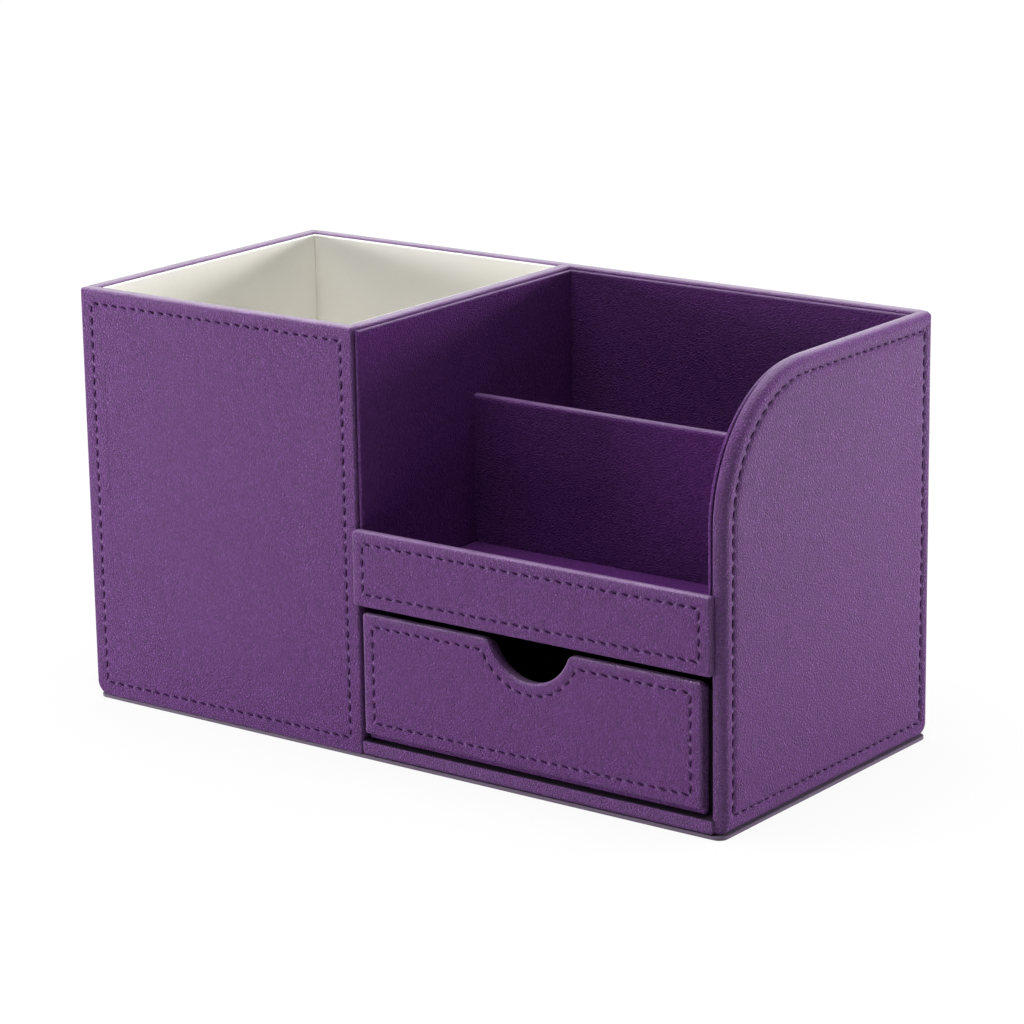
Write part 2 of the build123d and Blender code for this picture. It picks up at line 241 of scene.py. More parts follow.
class OrganiserStage(bpy.types.PropertyGroup):
    """Camera and light."""

    lens: number_property("Lens", "Focal length in millimetres on a 36 mm sensor", 132.65)
    azimuth: angle_property("Azimuth", "Camera to the right of the front", 37.093)
    elevation: angle_property("Elevation", "Camera above the horizon", 15.148)
    roll: angle_property("Roll", "Tilt of the camera about its own axis", -0.886)
    place: bpy.props.FloatVectorProperty(
        name="Place",
        description="Where the camera stands",
        default=(0.70883, -0.93078, 0.38587),
        size=3,
        subtype="TRANSLATION",
        unit="LENGTH",
    )
    left_power: number_property("Left power", "Power of the left softbox", 17.4)
    right_power: number_property("Right power", "Power of the right softbox", 16.8)
    top_power: number_property("Top power", "Power of the softbox overhead", 17.5)
    ambient: number_property("Ambient", "Strength of the even light", 0.05)


# Panel outlines


def panel_of(node, facing, grow=(0, 0, 0, 0)):
    """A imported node's extents along the way its show face looks, grown left, right, low and high."""
    axes = np.array(FACINGS[facing], float)
    corners = np.array(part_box(node)) @ axes.T
    low, high = corners.min(axis=0), corners.max(axis=0)
    flat = (low[0] - grow[0], high[0] + grow[1], low[1] - grow[2], high[1] + grow[3])
    return Panel(axes, *flat, high[2], high[2] - low[2])


def notch_arcs(notch, top, inset):
    """The two rounded ends of a finger notch and its hollow, from right to left."""
    hollow = notch.radius + inset
    corner = max(notch.corner - inset, TINY)
    up = top - inset - corner
    reach = math.sqrt((hollow + corner) ** 2 - (up - notch.up) ** 2)
    turn = math.atan2(notch.up - up, -reach)
    right = Arc(notch.along + reach, up, corner, math.pi / 2, turn)
    middle = Arc(notch.along, notch.up, hollow, turn + math.pi, 2 * math.pi - turn)
    left = Arc(notch.along - reach, up, corner, math.pi - turn, math.pi / 2)
    return [right, middle, left]


def outline_arcs(panel, radii, inset, notch=None):
    """The arcs of a panel's outline, moved inwards, anticlockwise from its lower left corner."""
    arcs = []
    left, right, low, high = panel.left, panel.right, panel.low, panel.high
    places = ((left, low), (right, low), (right, high), (left, high))
    inward = ((1, 1), (-1, 1), (-1, -1), (1, -1))
    for corner, (place, side, radius) in enumerate(zip(places, inward, radii)):
        if notch and corner == 3:
            arcs += notch_arcs(notch, panel.high, inset)
        radius = max(radius - inset, TINY)
        reach = inset + radius
        start = math.pi + corner * math.pi / 2
        centre = (place[0] + side[0] * reach, place[1] + side[1] * reach)
        arcs.append(Arc(*centre, radius, start, start + math.pi / 2))
    return arcs


def arc_points(arc, count):
    """Points along one arc, both ends included."""
    turn = np.linspace(arc.start, arc.stop, count)
    return np.stack([arc.along + arc.radius * np.cos(turn), arc.up + arc.radius * np.sin(turn)], axis=1)


def ring_counts(arcs, step):
    """How many points each arc and the straight run after it take at that spacing."""
    counts = []
    for arc, following in zip(arcs, arcs[1:] + arcs[:1]):
        around = arc.radius * abs(arc.stop - arc.start)
        straight = np.linalg.norm(arc_points(following, 2)[0] - arc_points(arc, 2)[1])
        counts.append((max(LEAST_ARC_POINTS, round(around / step) + 1), max(1, round(straight / step) - 1)))
    return counts


def ring_points(arcs, counts):
    """A closed ring of points, the same number whatever the inset."""
    points = []
    for arc, following, (around, straight) in zip(arcs, arcs[1:] + arcs[:1], counts):
        bend = arc_points(arc, around)
        share = np.linspace(0, 1, straight + 2)[1:-1, None]
        points += [bend, bend[-1] * (1 - share) + arc_points(following, 2)[0] * share]
    return np.concatenate(points)


# Sewing


def seam_along(arcs, counts, pitch):
    """A line of whole stitches between sharp corners, and how far each point is into its stitch."""
    points = ring_points(arcs, counts)
    starts = np.cumsum([0] + [around + straight for around, straight in counts])
    sharp = [
        int(starts[i] + counts[i][0] // 2) for i, arc in enumerate(arcs) if arc.radius <= TINY * 1.01
    ]
    phase = np.zeros(len(points))
    runs = []
    for first, last in zip(sharp, sharp[1:] + [sharp[0] + len(points)]):
        index = np.arange(first, last + 1) % len(points)
        steps = np.linalg.norm(np.diff(points[index], axis=0), axis=1)
        travelled = np.concatenate([[0], np.cumsum(steps)])
        stitches = max(1, round(travelled[-1] / pitch))
        phase[index] = travelled / travelled[-1] * stitches
        runs.append((points[index], travelled, stitches))
    return Seam(phase, runs)


def thread_piece(name, panel, seam, depth, sizes):
    """The stitches of one seam: short twisted threads that dive into the needle holes."""
    rings, sides = STITCH_RINGS, STITCH_SIDES
    share = np.linspace(0, 1, rings)
    turn = np.linspace(0, 2 * math.pi, sides, endpoint=False)
    arch = np.sin(share * math.pi) ** STITCH_ARCH_POWER
    lift = -depth - sizes.dimple + arch * (sizes.dimple + sizes.thread * STITCH_LIFT_SHARE)
    taper = STITCH_END_SHARE + (1 - STITCH_END_SHARE) * arch
    twist = share[:, None] * 2 * math.pi * STITCH_TWISTS + turn
    plies = 1 - STITCH_PLY_SHARE + STITCH_PLY_SHARE * np.cos(2 * twist)
    radius = sizes.thread / 2 * taper[:, None] * plies
    out = lift[:, None] + radius * np.sin(turn)
    # Painted shade at the needle hole, strongest where the stitch starts
    hole = np.repeat(np.sqrt(np.clip(1 - share / HOLE_SHARE, 0, 1)), sides)
    verts, faces = [], []
    for points, travelled, stitches in seam.runs:
        pitch = travelled[-1] / stitches
        for stitch in range(stitches):
            start = stitch * pitch + sizes.stitch_gap / 2
            along = start + share * (pitch - sizes.stitch_gap)
            centre = np.stack([np.interp(along, travelled, points[:, i]) for i in (0, 1)], axis=1)
            ahead = centre[-1] - centre[0]
            ahead /= np.linalg.norm(ahead)
            aside = np.array([-ahead[1], ahead[0]])
            centre = centre + np.outer((0.5 - share) * sizes.stitch_slant, aside)
            base = len(verts) * rings * sides
            flat = centre[:, None, :] + (radius * np.cos(turn))[..., None] * aside
            verts.append(np.concatenate([flat, out[..., None]], axis=2).reshape(-1, 3))
            faces += tube_faces(base, rings, sides)
    return mesh_piece(name, in_room(panel, np.concatenate(verts)), faces, np.tile(hole, len(verts)))


def tube_faces(base, rings, sides):
    """The faces of a closed tube whose rings of points follow each other."""
    faces = []
    for ring in range(rings - 1):
        for side in range(sides):
            near, far = base + ring * sides, base + (ring + 1) * sides
            following = (side + 1) % sides
            faces.append((near + side, near + following, far + following, far + side))
    last = base + (rings - 1) * sides
    faces.append(tuple(base + side for side in reversed(range(sides))))
    faces.append(tuple(last + side for side in range(sides)))
    return faces


# Meshes


def in_room(panel, points):
    """Panel points (along, up, out of the show face) as points of the object."""
    return (points + np.array([0, 0, panel.face])) @ panel.axes


def mesh_piece(name, verts, faces, rim=None):
    """A new smooth-shaded object, with a mask per point: painted highlight and rubbing at an edge, painted
    shade at a needle hole.
    """
    mesh = bpy.data.meshes.new(name)
    mesh.from_pydata([tuple(v) for v in verts], [], faces)
    mesh.polygons.foreach_set("use_smooth", [True] * len(mesh.polygons))
    if rim is not None:
        values = mesh.attributes.new("rim", "FLOAT", "POINT").data
        values.foreach_set("value", np.asarray(rim, np.float32))
    mesh.update()
    piece = bpy.data.objects.new(name, mesh)
    bpy.context.scene.collection.objects.link(piece)
    return piece


def edge_profile(panel, sizes, wrap):
    """(inset, height) of each ring, from the hem behind the panel over its edge to its show face."""
    rear = -panel.thickness
    deep = wrap.deep or wrap.front
    quarter = np.linspace(0, math.pi / 2, EDGE_STEPS)
    behind = [(sizes.hem, rear), (2 * wrap.back, rear)]
    over_back = [(wrap.back * (1 - math.sin(a)), rear + wrap.back * (1 - math.cos(a))) for a in quarter]
    over_front = [(wrap.front * (1 - math.cos(a)), -deep * (1 - math.sin(a))) for a in quarter]
    return behind + over_back + over_front + [(inset, 0.0) for inset in front_insets(wrap, sizes)]


def wobble(points, reach, swell, seed):
    """A slow uneven swell over a panel, so that glued leather isn't dead flat."""
    rng = np.random.default_rng(seed)
    total = np.zeros(points.shape[:-1])
    for _ in range(SWELL_WAVES):
        way = rng.uniform(0, 2 * math.pi)
        pace = 2 * math.pi / (reach * rng.uniform(*SWELL_REACH_SHARES))
        across = points[..., 0] * math.cos(way) + points[..., 1] * math.sin(way)
        total += np.sin(across * pace + rng.uniform(0, 2 * math.pi))
    return swell * total / SWELL_WAVES


def loft(name, panel, rings, rim):
    """A closed mesh through rings of points, with a flat face at each end."""
    ring_count, size = rings.shape[:2]
    index = np.arange(ring_count * size).reshape(ring_count, size)
    near, far = index[:-1], index[1:]
    quads = np.stack([near, np.roll(near, -1, 1), np.roll(far, -1, 1), far], axis=-1).reshape(-1, 4)
    faces = [tuple(q) for q in quads.tolist()]
    faces += [tuple(index[0][::-1].tolist()), tuple(index[-1].tolist())]
    return mesh_piece(name, in_room(panel, rings.reshape(-1, 3)), faces, rim)


def edge_nearness(panel, flat, inset, wrap):
    """How much painted highlight and rubbing an edge gets at each point of a ring: painted highlight most
    where it looks up, some where it looks left, and a little rubbing all along.
    """
    ahead = np.roll(flat, -1, axis=0) - np.roll(flat, 1, axis=0)
    ahead /= np.maximum(np.linalg.norm(ahead, axis=1, keepdims=True), TINY * TINY)
    outward = np.outer(ahead[:, 1], panel.axes[0]) - np.outer(ahead[:, 0], panel.axes[1])
    # Painted highlight on edges that look up or left, a little rubbing on all of them
    looks = np.maximum(np.clip(outward[:, 2], 0, 1) ** UP_HIGHLIGHT_POWER, -wrap.left * outward[:, 0])
    rubbed_and_lit = RUB_EVERYWHERE_SHARE + (1 - RUB_EVERYWHERE_SHARE) * np.clip(looks, 0, 1)
    return math.exp(-((inset / wrap.worn) ** 2)) * rubbed_and_lit


def front_insets(wrap, sizes):
    """Insets of the rings over a show face: close together at its seam."""
    insets = [share * wrap.front for share in EDGE_RING_SHARES]
    if wrap.inset:
        insets = [wrap.inset + share * sizes.groove_width for share in SEAM_RING_SHARES] + [2 * wrap.inset]
    if wrap.padded:
        insets += [wrap.inset + share * sizes.pull_width for share in PULL_RING_SHARES]
    return sorted(inset for inset in insets if inset > wrap.front)


def seam_relief(inset, wrap, seam, sizes):
    """How far a seam moves the leather out at each point of a ring, and the painted highlight it puts
    between two stitches.
    """
    pull = math.exp(-(((inset - wrap.inset) / sizes.groove_width) ** 2))
    swell = 1 - math.exp(-max(inset - wrap.inset, 0) / (2 * sizes.groove_width))
    bridge = (0.5 + 0.5 * np.cos(2 * math.pi * seam.phase)) ** BRIDGE_POWER
    relief = swell * sizes.crown - pull * sizes.groove_depth * (1 - BRIDGE_RISE_SHARE * bridge)
    if wrap.padded:
        relief -= sizes.pull_depth * math.exp(-(((inset - wrap.inset) / sizes.pull_width) ** 2))
    return relief, BRIDGE_HIGHLIGHT_SHARE * pull * bridge


def wrapped_panel(node, facing, radii, sizes, wrap, notch=None, seed=1):
    """A panel's mesh and, if it is sewn, its thread."""
    panel = panel_of(node, facing, wrap.grow)
    panel = panel._replace(thickness=panel.thickness - wrap.slit)
    profile = edge_profile(panel, sizes, wrap)
    counts = ring_counts(outline_arcs(panel, radii, 0, notch), wrap.step)
    seam = None
    if wrap.inset:
        seam = seam_along(outline_arcs(panel, radii, wrap.inset, notch), counts, sizes.stitch_pitch)
    rings, rim = [], []
    for inset, height in profile:
        flat = ring_points(outline_arcs(panel, radii, inset, notch), counts)
        out = np.full(len(flat), height)
        # Rubbing and painted highlight near the edge, and painted highlight between stitches below
        worn = edge_nearness(panel, flat, inset, wrap)
        if height > -panel.thickness / 2:
            out += wobble(flat, sizes.swell_reach, sizes.swell, seed)
            if seam:
                relief, rubbed_and_lit = seam_relief(inset, wrap, seam, sizes)
                out += relief
                worn = np.maximum(worn, rubbed_and_lit)
        rings.append(np.concatenate([flat, out[:, None]], axis=1))
        rim.append(worn)
    leather = loft(node + "_leather", panel, np.array(rings), np.concatenate(rim))
    if not seam:
        return leather, None
    depth = sizes.groove_depth + (sizes.pull_depth if wrap.padded else 0)
    return leather, thread_piece(node + "_thread", panel, seam, depth, sizes)


# Materials


class Nodes:
    """Adds nodes to a tree in a row, and links them by socket."""

    spacing = 220

    def __init__(self, tree):
        self.tree = tree
        self.across = 0

    def add(self, kind, settings=None, **inputs):
        """A node with its settings, and its inputs as values or as sockets of other nodes."""
        node = self.tree.nodes.new(kind)
        node.location = (self.across, 0)
        self.across += self.spacing
        for key, value in (settings or {}).items():
            setattr(node, key, value)
        for key, value in inputs.items():
            self.feed(node.inputs[key.replace("_", " ")], value)
        return node

    def group(self, name, **inputs):
        """The outputs of one of the shared node groups."""
        return self.add("ShaderNodeGroup", {"node_tree": group_named(name)}, **inputs).outputs

    def feed(self, socket, value):
        """Sets a socket to a value, or links another socket to it."""
        if isinstance(value, bpy.types.NodeSocket):
            self.tree.links.new(value, socket)
        else:
            socket.default_value = value

    def sums(self, operation, first, second=0.0, clamp=False):
        """The result of one Math node."""
        node = self.add("ShaderNodeMath", {"operation": operation, "use_clamp": clamp})
        self.feed(node.inputs[0], first)
        self.feed(node.inputs[1], second)
        return node.outputs[0]

    def vectors(self, operation, first, second=(0.0, 0.0, 0.0)):
        """The value of one Vector Math node."""
        node = self.add("ShaderNodeVectorMath", {"operation": operation})
        self.feed(node.inputs[0], first)
        self.feed(node.inputs[1], second)
        return node.outputs["Value"]

    def ramp(self, value, low, high, start, end):
        """A value that goes from start to end while another goes from low to high."""
        limits = {"From Min": low, "From Max": high, "To Min": start, "To Max": end}
        return self.add("ShaderNodeMapRange", Value=value, **limits).outputs["Result"]

    def mix(self, factor, first, second):
        """One colour over another."""
        node = self.add("ShaderNodeMix", {"data_type": "RGBA"})
        for key, value in ((0, factor), (6, first), (7, second)):
            self.feed(node.inputs[key], value)
        return node.outputs[2]


def rgba(colour, shade=1.0):
    """A colour property, made lighter or darker, with full alpha."""
    return (*(np.array(colour) * shade), 1.0)


def new_group(name, inputs, outputs):
    """An empty shader node group with named sockets, and its input and output nodes."""
    group = bpy.data.node_groups.new(name, "ShaderNodeTree")
    for title, kind, default in inputs:
        group.interface.new_socket(title, in_out="INPUT", socket_type=kind).default_value = default
    for title, kind in outputs:
        group.interface.new_socket(title, in_out="OUTPUT", socket_type=kind)
    nodes = Nodes(group)
    return group, nodes, nodes.add("NodeGroupInput").outputs, nodes.add("NodeGroupOutput").inputs


def grain_group():
    """Pebbled leather grain: a height for bump, a mask of its valleys and a tone for each pebble."""
    group, nodes, given, result = new_group(
        "Leather grain",
        [("Scale", FLOAT, 1100.0)],
        [("Height", FLOAT), ("Valleys", FLOAT), ("Tone", FLOAT)],
    )
    bend_share, pebble_rise, pebble_height, fine_height = 0.0006, 0.22, 3.2, 0.35
    valley_slope, tone_range = 4.5, 0.36
    place = nodes.add("ShaderNodeTexCoord").outputs["Object"]
    bend = nodes.add("ShaderNodeTexNoise", Vector=place, Scale=420.0, Detail=2.0).outputs["Color"]
    bent = nodes.add("ShaderNodeMix", {"data_type": "VECTOR"})
    nodes.feed(bent.inputs[0], bend_share)
    nodes.feed(bent.inputs[4], place)
    nodes.feed(bent.inputs[5], bend)
    cells = {"Vector": bent.outputs[1], "Scale": given["Scale"]}
    pebble = nodes.add("ShaderNodeTexVoronoi", {"feature": "DISTANCE_TO_EDGE"}, **cells)
    dome = nodes.sums("SMOOTH_MIN", pebble.outputs["Distance"], pebble_rise)
    fine = nodes.add("ShaderNodeTexNoise", Vector=place, Scale=2600.0, Detail=3.0, Roughness=0.6)
    swollen = nodes.sums("MULTIPLY", dome, pebble_height)
    roughened = nodes.sums("MULTIPLY", fine.outputs["Fac"], fine_height)
    nodes.feed(result["Height"], nodes.sums("ADD", swollen, roughened))
    slope = nodes.sums("MULTIPLY", dome, valley_slope)
    nodes.feed(result["Valleys"], nodes.sums("SUBTRACT", 1.0, slope, True))
    cell = nodes.add("ShaderNodeTexVoronoi", **cells).outputs["Color"]
    tone = nodes.add("ShaderNodeSeparateColor", Color=cell).outputs["Red"]
    spread = nodes.sums("MULTIPLY", tone, tone_range)
    nodes.feed(result["Tone"], nodes.sums("ADD", spread, 1 - tone_range / 2))
    return group


def mottle_group():
    """A slow unevenness of colour."""
    group, nodes, given, result = new_group(
        "Uneven colour",
        [("Color", COLOUR, (1, 1, 1, 1)), ("Scale", FLOAT, 30.0), ("Amount", FLOAT, 0.1)],
        [("Color", COLOUR)],
    )
    place = nodes.add("ShaderNodeTexCoord").outputs["Object"]
    slow = nodes.add("ShaderNodeTexNoise", Vector=place, Scale=given["Scale"], Detail=4.0, Roughness=0.62)
    shift = nodes.sums("MULTIPLY", nodes.sums("SUBTRACT", slow.outputs["Fac"], 0.5), given["Amount"])
    value = nodes.sums("ADD", shift, 1.0)
    change = nodes.add("ShaderNodeHueSaturation", Color=given["Color"], Value=value)
    nodes.feed(result["Color"], change.outputs["Color"])
    return group


def wear_group():
    """Painted highlight and rubbing at edges, from a point's mask and a patchy noise, and how shiny it is.
    """
    group, nodes, given, result = new_group(
        "Edge wear",
        [("Amount", FLOAT, 0.5), ("Patch Scale", FLOAT, 90.0)],
        [("Mask", FLOAT), ("Shine", FLOAT)],
    )
    patch_range, least_patch = 1.1, 0.1
    rim = nodes.add("ShaderNodeAttribute", {"attribute_name": "rim"}).outputs["Fac"]
    place = nodes.add("ShaderNodeTexCoord").outputs["Object"]
    scale = given["Patch Scale"]
    patch = nodes.add("ShaderNodeTexNoise", Vector=place, Scale=scale, Detail=5.0, Roughness=0.7)
    patchy = nodes.sums("ADD", nodes.sums("MULTIPLY", patch.outputs["Fac"], patch_range), least_patch)
    spotted = nodes.sums("MULTIPLY", rim, patchy)
    nodes.feed(result["Mask"], nodes.sums("MULTIPLY", spotted, given["Amount"], True))
    nodes.feed(result["Shine"], nodes.sums("MULTIPLY", rim, 1.0, True))
    return group


def fibre_group():
    """Short soft fibres: a height for bump and a fleck of colour."""
    group, nodes, given, result = new_group(
        "Fibres",
        [("Scale", FLOAT, 900.0)],
        [("Height", FLOAT), ("Fleck", FLOAT)],
    )
    clump_scale = 0.18
    place = nodes.add("ShaderNodeTexCoord").outputs["Object"]
    fine, coarse = given["Scale"], nodes.sums("MULTIPLY", given["Scale"], clump_scale)
    nap = nodes.add(
        "ShaderNodeTexNoise", Vector=place, Scale=fine, Detail=4.0, Roughness=0.7, Distortion=1.2
    )
    clump = nodes.add("ShaderNodeTexNoise", Vector=place, Scale=coarse, Detail=3.0)
    nodes.feed(result["Height"], nodes.sums("ADD", nap.outputs["Fac"], clump.outputs["Fac"]))
    nodes.feed(result["Fleck"], nodes.sums("SUBTRACT", nap.outputs["Fac"], 0.5))
    return group


def group_named(name):
    """A shader node group, built once."""
    makers = {
        "Leather grain": grain_group,
        "Uneven colour": mottle_group,
        "Edge wear": wear_group,
        "Fibres": fibre_group,
    }
    return bpy.data.node_groups.get(name) or makers[name]()


def new_material(name):
    """An empty material, its nodes and its shader."""
    material = bpy.data.materials.new(name)
    material.use_nodes = True
    material.node_tree.nodes.clear()
    nodes = Nodes(material.node_tree)
    shader = nodes.add("ShaderNodeBsdfPrincipled")
    nodes.add("ShaderNodeOutputMaterial", Surface=shader.outputs["BSDF"])
    return material, nodes, shader


def leather_material(name, leather, colours):
    """Pebbled imitation leather with rubbing and painted highlight on its edges."""
    smooth, valley_rough, valley_share = 0.4, 0.22, 0.35
    colour = getattr(colours, leather.colour)
    material, nodes, shader = new_material(name)
    grain = nodes.group("Leather grain", Scale=1150.0)
    mottle = nodes.group("Uneven colour", Color=rgba(colour), Scale=38.0, Amount=0.1)
    rubbed_and_lit = nodes.group("Edge wear", Amount=leather.wear)
    toned = nodes.add("ShaderNodeHueSaturation", Color=mottle["Color"], Value=grain["Tone"])
    shaded = nodes.sums("MULTIPLY", grain["Valleys"], valley_share)
    valley = nodes.mix(shaded, toned.outputs["Color"], rgba(colour, shade=0.5))
    # Paler colour where the edge mask puts rubbing and painted highlight
    nodes.feed(shader.inputs["Base Color"], nodes.mix(rubbed_and_lit["Mask"], valley, rgba(colours.leather_worn_and_lit)))
    rougher = nodes.sums("MULTIPLY", grain["Valleys"], valley_rough)
    nodes.feed(shader.inputs["Roughness"], nodes.sums("ADD", smooth, rougher))
    bump = nodes.add("ShaderNodeBump", Strength=1.0, Distance=0.5 * MM, Height=grain["Height"])
    nodes.feed(shader.inputs["Normal"], bump.outputs["Normal"])
    nodes.feed(shader.inputs["Coat Weight"], rubbed_and_lit["Shine"])
    shader.inputs["Coat Roughness"].default_value = 0.2
    shader.inputs["Specular IOR Level"].default_value = leather.specular
    return material


def thread_material(colours):
    """Tight sewing thread with fine plies, with painted shade where it dives into its needle hole."""
    pale_share = 0.45
    material, nodes, shader = new_material("Thread")
    fibres = nodes.group("Fibres", Scale=2400.0)
    fleck = nodes.sums("ADD", fibres["Fleck"], pale_share, True)
    tone = nodes.mix(fleck, rgba(colours.thread), rgba(colours.thread, shade=1.9))
    hole = nodes.group("Edge wear")["Shine"]
    # Painted shade where the thread dives into its needle hole
    nodes.feed(shader.inputs["Base Color"], nodes.mix(hole, tone, rgba(colours.thread, shade=0.06)))
    bump = nodes.add("ShaderNodeBump", Strength=0.5, Distance=0.08 * MM, Height=fibres["Height"])
    nodes.feed(shader.inputs["Normal"], bump.outputs["Normal"])
    shader.inputs["Roughness"].default_value = 0.7
    shader.inputs["Specular IOR Level"].default_value = 0.15
    return material


def fibre_material(name, fibre, colours):
    """Suede, felt, covered card or fibreboard: fibres of one colour, and a painted edge highlight if given.
    """
    colour = getattr(colours, fibre.colour)
    material, nodes, shader = new_material(name)
    fibres = nodes.group("Fibres", Scale=fibre.scale)
    mottle = nodes.group("Uneven colour", Color=rgba(colour), Scale=26.0, Amount=0.12)
    flecked = nodes.sums("MULTIPLY", fibres["Fleck"], fibre.fleck, True)
    tone = nodes.mix(flecked, mottle["Color"], rgba(colour, shade=0.6))
    if fibre.edge:
        # Painted highlight along the upper edge
        cut = nodes.group("Edge wear", Amount=1.3)["Mask"]
        tone = nodes.mix(cut, tone, rgba(getattr(colours, fibre.edge)))
    nodes.feed(shader.inputs["Base Color"], tone)
    bump = nodes.add("ShaderNodeBump", Strength=0.45, Distance=fibre.depth, Height=fibres["Height"])
    nodes.feed(shader.inputs["Normal"], bump.outputs["Normal"])
    shader.inputs["Roughness"].default_value = 0.92
    shader.inputs["Specular IOR Level"].default_value = 0.25
    return material


def material_named(name):
    """A material of the organiser, built once."""
    made = bpy.data.materials.get(name)
    if made:
        return made
    colours = bpy.context.scene.organiser_colours
    if name == "Thread":
        return thread_material(colours)
    if name in LEATHERS:
        return leather_material(name, LEATHERS[name], colours)
    return fibre_material(name, FIBRES[name], colours)


def dress(piece, body, slot, material, *nodes):
    """Gives a new piece its material and its body, and hides the nodes that it stands for; the slot is not
    used.
    """
    piece.data.materials.append(material_named(material))
    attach(piece, body)
    if nodes:
        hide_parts(*nodes)


def dress_node(node, material):
    """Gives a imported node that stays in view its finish."""
    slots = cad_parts[node].data.materials
    slots.clear()
    slots.append(material_named(material))


# Operators


class ORGANISER_OT_walls(bpy.types.Operator):
    """Build the five wrapped walls of the box and their stitches"""

    bl_idname = "organiser.walls"
    bl_label = "Wrapped walls"

    def execute(self, context):
        sizes = context.scene.organiser_sizes
        tuck, edge = sizes.tuck, sizes.edge_round
        plain = (sizes.corner,) * 4
        footed = (sizes.foot_corner, sizes.corner, sizes.corner, sizes.corner)
        swept = (sizes.front_foot, sizes.foot_corner, sizes.corner, sizes.sweep)
        sewn = Wrap(edge, edge, inset=sizes.wall_inset, step=sizes.ring_step)
        deep = panel_of("right_panel_cover", "right").thickness - sizes.soft_land
        soft = sewn._replace(front=sizes.soft_round, deep=deep, inset=sizes.soft_inset, padded=True)
        bare = Wrap(edge, edge, grow=(tuck, tuck, 0, 0))
        walls = (
            (["left_panel_cover"], "left", plain, sewn._replace(grow=(0, tuck, 0, 0))),
            (["back_panel_cover"], "back", plain, sewn._replace(grow=(tuck, tuck, 0, 0))),
            (["right_panel_cover", "right_panel_board"], "right", swept, soft),
            (["pen_front_cover"], "front", footed, sewn),
            (["divider_cover"], "right", plain, bare),
        )
        for seed, (nodes, facing, radii, wrap) in enumerate(walls):
            leather, thread = wrapped_panel(nodes[0], facing, radii, sizes, wrap, seed=seed)
            dress(leather, CASE, "leather", "Leather", *nodes)
            if thread:
                dress(thread, CASE, "leather", "Thread")
        return {"FINISHED"}


class ORGANISER_OT_faces(bpy.types.Operator):
    """Build the sewn fascia of the letter bay, the drawer's sewn face and the box front behind it"""

    bl_idname = "organiser.faces"
    bl_label = "Sewn faces"

    def execute(self, context):
        sizes = context.scene.organiser_sizes
        corners = (sizes.face_corner,) * 4
        lapped = (*corners[:3], sizes.fascia_corner)
        drawer = panel_of("drawer_face_cover", "front")
        notch = Notch(
            (drawer.left + drawer.right) / 2,
            drawer.high - sizes.notch_depth + sizes.notch_radius,
            sizes.notch_radius,
            sizes.notch_corner,
        )
        hollow = notch._replace(radius=notch.radius + sizes.card_round)
        lapped_fascia = (sizes.fascia_lap, sizes.fascia_reach, -sizes.fascia_lift, 0)
        lapped_face = (sizes.drawer_lap, 0, 0, 0)
        lapped_front = (sizes.drawer_lap, 0, sizes.front_drop, 0)
        # Thin faces get painted highlight on their edges that look left
        thin = Wrap(sizes.face_round, sizes.face_back, step=sizes.ring_step, left=1.0)
        fascia = thin._replace(grow=lapped_fascia, inset=sizes.fascia_inset)
        face = thin._replace(grow=lapped_face, inset=sizes.drawer_inset)
        front = thin._replace(grow=lapped_front, slit=sizes.front_thin)
        faces = (
            ("fascia_cover", CASE, lapped, None, fascia),
            ("drawer_face_cover", DRAWER, corners, notch, face),
            ("drawer_front_cover", DRAWER, corners, hollow, front),
        )
        for seed, (node, body, radii, cut, wrap) in enumerate(faces, start=11):
            leather, thread = wrapped_panel(node, "front", radii, sizes, wrap, notch=cut, seed=seed)
            dress(leather, body, "leather", "Leather", node)
            if thread:
                dress(thread, body, "leather", "Thread")
        return {"FINISHED"}


class ORGANISER_OT_inner_walls(bpy.types.Operator):
    """Build the partition and the leather-faced linings of the letter bay"""

    bl_idname = "organiser.inner_walls"
    bl_label = "Partition and bay linings"

    def execute(self, context):
        sizes = context.scene.organiser_sizes
        tuck, small = sizes.tuck, (sizes.card_round,) * 4
        swept = (sizes.card_round, sizes.card_round, sizes.sweep - sizes.lining_drop, sizes.card_round)
        card = Wrap(sizes.card_round, sizes.card_round / 2, slit=sizes.seam_slit)
        wall = Wrap(sizes.partition_round, sizes.partition_round, grow=(tuck, tuck, tuck, 0))
        pieces = (
            ("partition_cover", "front", (sizes.face_corner,) * 4, wall, "leather"),
            ("bay_left_lining", "right", small, card, "leather_lining"),
            ("bay_back_lining", "front", small, card, "leather_lining"),
            ("bay_right_lining", "left", swept, card, "leather_lining"),
            ("lip_lining", "back", small, card, "leather_lining"),
        )
        for seed, (node, facing, radii, wrap, slot) in enumerate(pieces, start=21):
            leather, _ = wrapped_panel(node, facing, radii, sizes, wrap, seed=seed)
            # Painted shade: the bay's pieces take the darker leather
            dress(leather, CASE, slot, "Lining leather", node)
        return {"FINISHED"}


class ORGANISER_OT_well(bpy.types.Operator):
    """Build the suede linings of the pen well"""

    bl_idname = "organiser.well"
    bl_label = "Pen well linings"

    def execute(self, context):
        sizes = context.scene.organiser_sizes
        # The suede's pale band along its top is a painted highlight
        card = Wrap(sizes.card_round, sizes.card_round / 2, worn=sizes.suede_edge, slit=sizes.seam_slit)
        card = card._replace(grow=(0, 0, 0, sizes.suede_rise))
        walls = (
            ("well_front_lining", "back"),
            ("well_back_lining", "front"),
            ("well_left_lining", "right"),
            ("well_right_lining", "left"),
        )
        for seed, (node, facing) in enumerate(walls, start=31):
            suede, _ = wrapped_panel(node, facing, (sizes.card_round,) * 4, sizes, card, seed=seed)
            dress(suede, CASE, "suede_lining", "Suede", node)
        dress_node("well_floor_lining", "Suede")
        return {"FINISHED"}


